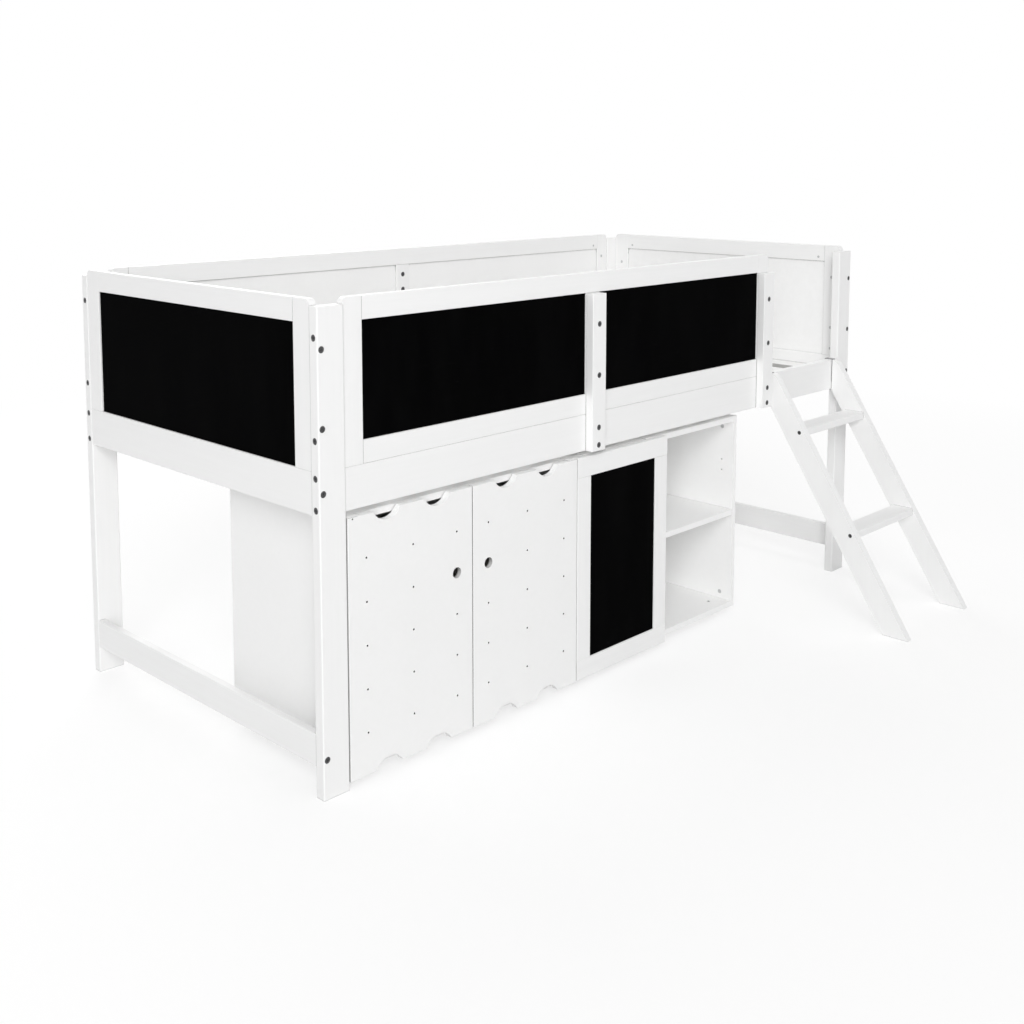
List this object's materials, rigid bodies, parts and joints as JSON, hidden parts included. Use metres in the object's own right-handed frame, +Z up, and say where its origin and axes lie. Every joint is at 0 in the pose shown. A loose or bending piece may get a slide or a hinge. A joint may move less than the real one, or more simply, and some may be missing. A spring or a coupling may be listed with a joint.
{
  "type": "loft bed",
  "caption": "White loft bed with framed chalkboard guards, a sloping hook-on ladder, and an under-bed cupboard with hinged doors beside a bookcase with a sliding chalkboard door.",
  "frame": {"origin": "on the floor, in the middle of the box round the whole bed and its ladder", "axes": "+X from the head end to the foot end, +Y from the ladder side to the back, +Z up"},
  "size_m": [2.08, 1.438, 1.038],
  "materials": {
    "white_paint": "satin white paint",
    "white_board": "white melamine-faced board",
    "slat_wood": "white-washed slats",
    "chalkboard": "matt black chalk paint on hardboard",
    "dark_steel": "blackened steel",
    "zinc": "zinc-plated steel",
    "white_enamel": "white powder-coated steel",
    "white_plastic": "moulded white plastic"
  },
  "bodies": {
    "bed": {"post_front_head": "white_paint", "post_front_foot": "white_paint", "post_back_head": "white_paint", "post_back_foot": "white_paint", "head_stiles": "white_paint", "head_top_rail": "white_paint", "head_bed_rail": "white_paint", "head_lower_rail": "white_paint", "foot_stiles": "white_paint", "foot_top_rail": "white_paint", "foot_bed_rail": "white_paint", "foot_lower_rail": "white_paint", "front_bed_rail": "white_paint", "back_bed_rail": "white_paint", "slat_cleats": "white_paint", "front_guard_stiles": "white_paint", "front_guard_top_rail": "white_paint", "front_guard_low_rails": "white_paint", "back_guard_stiles": "white_paint", "back_guard_top_rail": "white_paint", "back_guard_low_rails": "white_paint", "guard_battens": "white_paint", "back_panels": "white_paint", "slats": "slat_wood", "head_chalkboard": "chalkboard", "foot_chalkboard": "chalkboard", "front_chalkboards": "chalkboard", "cupboard_sides": "white_board", "cupboard_top": "white_board", "cupboard_bottom": "white_board", "cupboard_back": "white_board", "bookcase_sides": "white_board", "bookcase_top": "white_board", "bookcase_bottom": "white_board", "bookcase_back": "white_board", "cupboard_shelf": "white_board", "bookcase_shelves": "white_board", "bookcase_divider": "white_board", "post_bolts": "dark_steel", "batten_bolts": "dark_steel", "pivot_plates": "white_enamel", "barrel_nuts": "zinc", "frame_cams": "zinc", "unit_cams": "zinc", "shelf_pins": "zinc", "slide_channels": "white_plastic", "glide_feet": "white_plastic"},
    "head_door": {"head_door": "white_paint"},
    "foot_door": {"foot_door": "white_paint"},
    "sliding_door": {"slide_rails": "white_paint", "slide_stiles": "white_paint", "slide_chalkboard": "chalkboard", "slide_hangers": "white_enamel"},
    "ladder": {"ladder_head_stringer": "white_paint", "ladder_foot_stringer": "white_paint", "ladder_treads": "white_paint", "ladder_hooks": "zinc", "tread_bolts": "dark_steel"}
  },
  "joints": [
    {"name": "head_door_hinge", "type": "hinge", "parent": "bed", "child": "head_door", "pos_m": [-0.962, -0.261, 0.3], "axis": [0, 0, -1], "range_deg": [0, 100]},
    {"name": "foot_door_hinge", "type": "hinge", "parent": "bed", "child": "foot_door", "pos_m": [-0.267, -0.261, 0.3], "axis": [0, 0, 1], "range_deg": [0, 100]},
    {"name": "sliding_door_slide", "type": "slide", "parent": "bed", "child": "sliding_door", "axis": [1, 0, 0], "range_m": [0, 0.352]},
    {"name": "ladder_lift", "type": "slide", "parent": "bed", "child": "ladder", "axis": [0, 0, 1], "range_m": [0, 0.06]}
  ]
}
